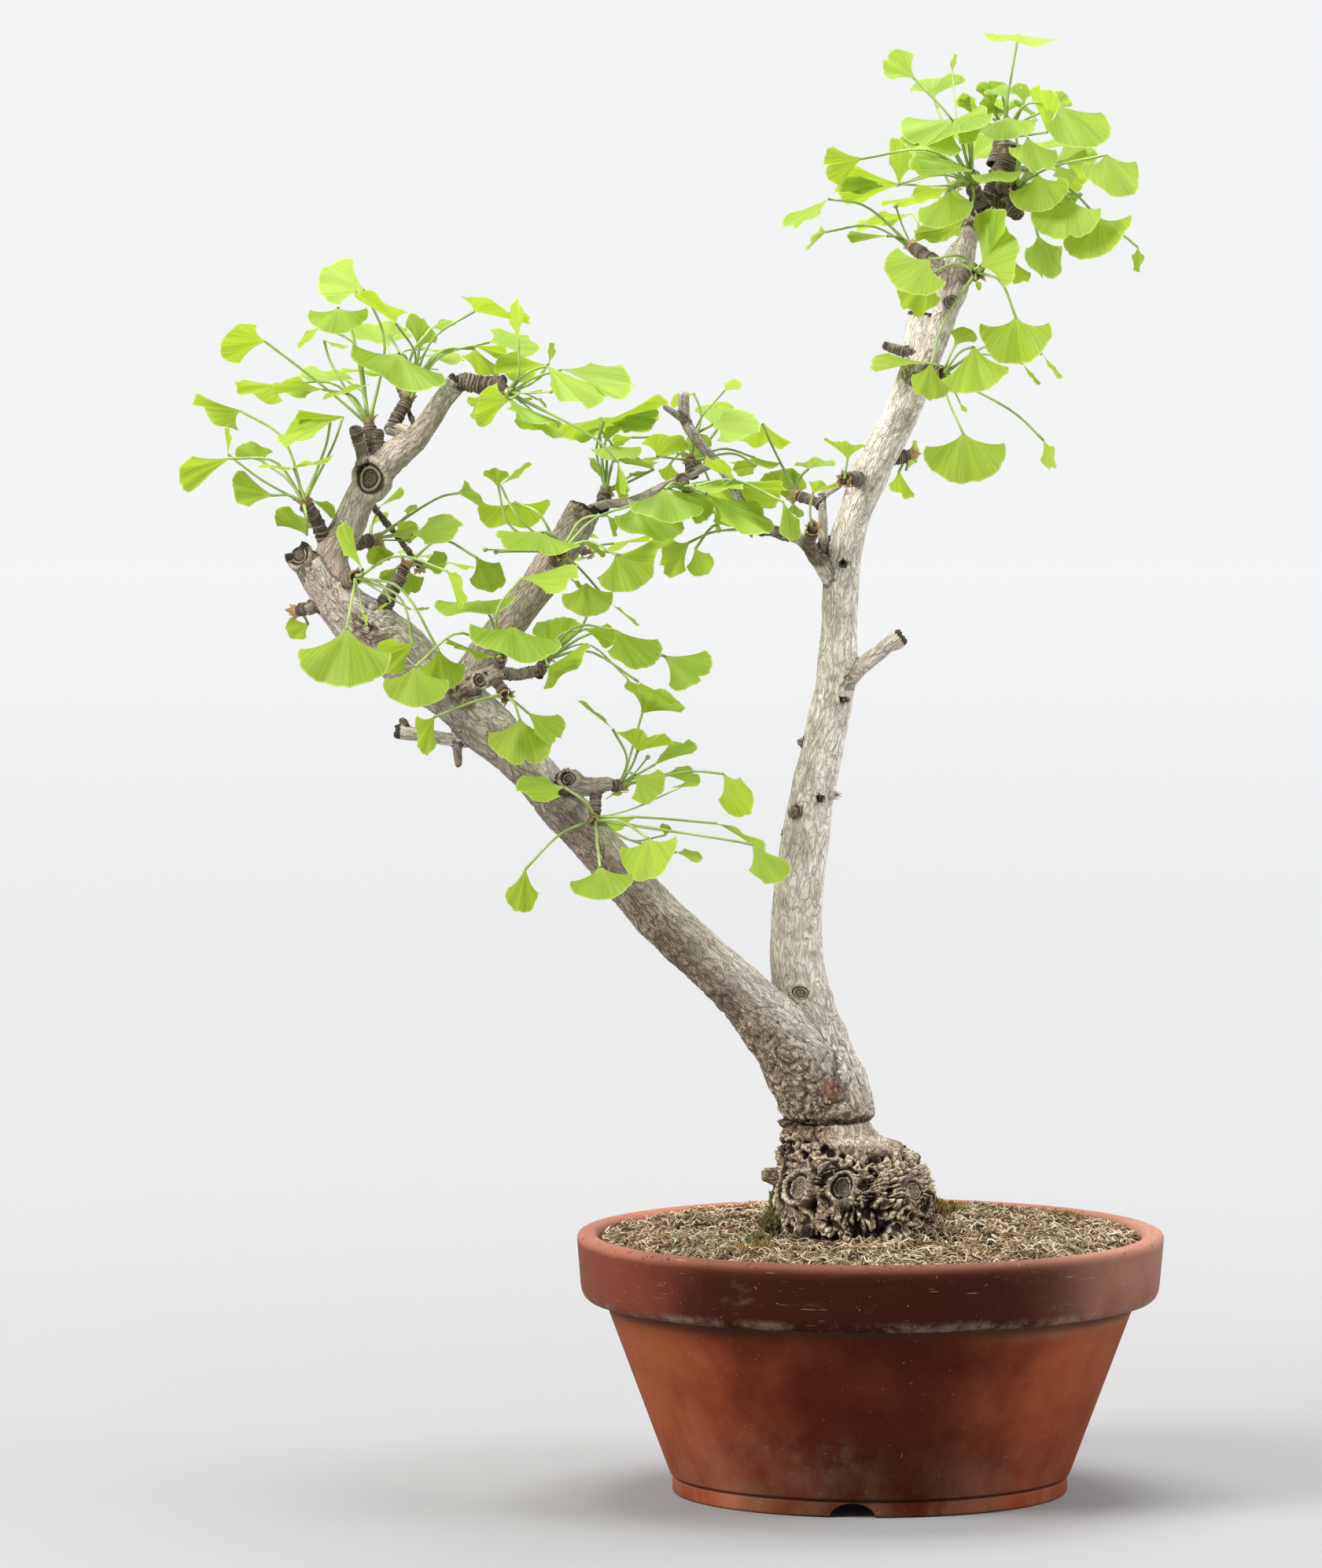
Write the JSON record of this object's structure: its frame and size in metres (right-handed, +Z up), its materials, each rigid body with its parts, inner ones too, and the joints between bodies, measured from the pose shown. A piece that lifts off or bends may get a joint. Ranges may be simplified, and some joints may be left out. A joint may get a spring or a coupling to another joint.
{
  "type": "ginkgo bonsai",
  "caption": "Small ginkgo tree with a forked trunk, pruned branches and fan-shaped leaves on short spurs, planted in a round terracotta bowl with a banded rim.",
  "frame": {"origin": "middle of the whole outline's footprint, on the ground under the bowl's foot", "axes": "+Z up, the tree's front faces -Y, +X to the right seen from the front; the bowl stands on the +X side under the trunk"},
  "size_m": [0.4984, 0.2996, 0.7441],
  "materials": {
    "terracotta": "unglazed matte clay, darker rim band, pale lime bloom and pores",
    "soil": "dry moss strands over dark soil, with green and ochre moss",
    "bark": "rough grey-brown bark, ridged at the foot, pale and smoother above",
    "leaf": "thin translucent yellow-green, fine radiating veins"
  },
  "bodies": {
    "root": {"pot": "terracotta", "soil": "soil", "wood": "bark", "leaves_far_left": "leaf", "leaves_top_left_1": "leaf", "leaves_top_left_2": "leaf", "leaves_top_left_3": "leaf", "leaves_middle_1": "leaf", "leaves_middle_2": "leaf", "leaves_middle_3": "leaf", "leaves_inner_1": "leaf", "leaves_inner_2": "leaf", "leaves_inner_3": "leaf", "leaves_inner_4": "leaf", "leaves_inner_5": "leaf", "leaves_middle_4": "leaf", "leaves_left_1": "leaf", "leaves_left_2": "leaf", "leaves_left_3": "leaf", "leaves_left_4": "leaf", "leaves_left_5": "leaf", "leaves_middle_5": "leaf", "leaves_middle_6": "leaf", "leaves_low_1": "leaf", "leaves_low_2": "leaf", "leaves_right_1": "leaf", "leaves_right_2": "leaf", "leaves_right_3": "leaf", "leaves_crown_1": "leaf", "leaves_crown_2": "leaf", "leaves_crown_3": "leaf", "leaves_back_1": "leaf", "leaves_back_2": "leaf", "leaves_back_4": "leaf", "leaves_back_5": "leaf", "leaves_back_6": "leaf", "leaves_back_7": "leaf", "leaves_back_3": "leaf"}
  },
  "joints": []
}
